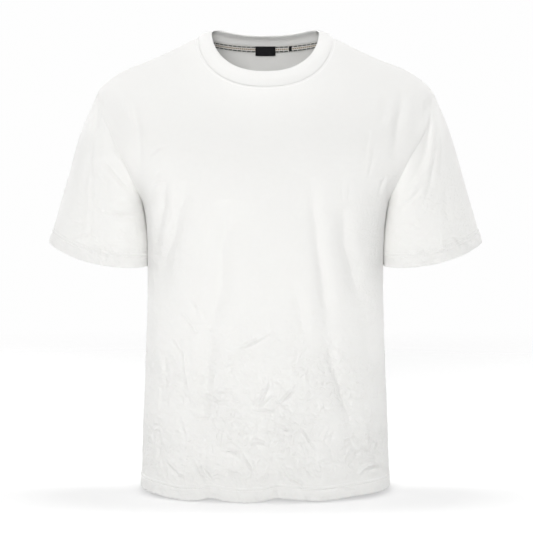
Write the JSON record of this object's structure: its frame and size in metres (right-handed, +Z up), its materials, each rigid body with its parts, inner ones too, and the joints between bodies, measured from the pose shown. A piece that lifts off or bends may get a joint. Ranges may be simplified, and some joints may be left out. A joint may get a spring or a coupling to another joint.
{
  "type": "crew neck t-shirt",
  "caption": "A white crew neck T-shirt in cotton jersey with short, loose sleeves, a rib collar and a taped back neck, filled out as when worn, with nobody in it.",
  "frame": {"origin": "on the shoulder line, midway between the points where the shoulder seams meet the neckline, where the wearer's shoulders hold the shirt up", "axes": "+Z up towards the neck opening, -Y towards the front, +X towards the wearer's left sleeve"},
  "size_m": [0.672, 0.2632, 0.7121],
  "materials": {
    "jersey": "matte",
    "rib": "matte",
    "tape": "matte",
    "label": "satin"
  },
  "bodies": {
    "root": {"front_panel": "jersey", "back_panel": "jersey", "sleeve_left": "jersey", "sleeve_right": "jersey", "neckband": "rib", "neck_tape": "tape", "neck_label": "label", "size_tab": "label"}
  },
  "joints": []
}
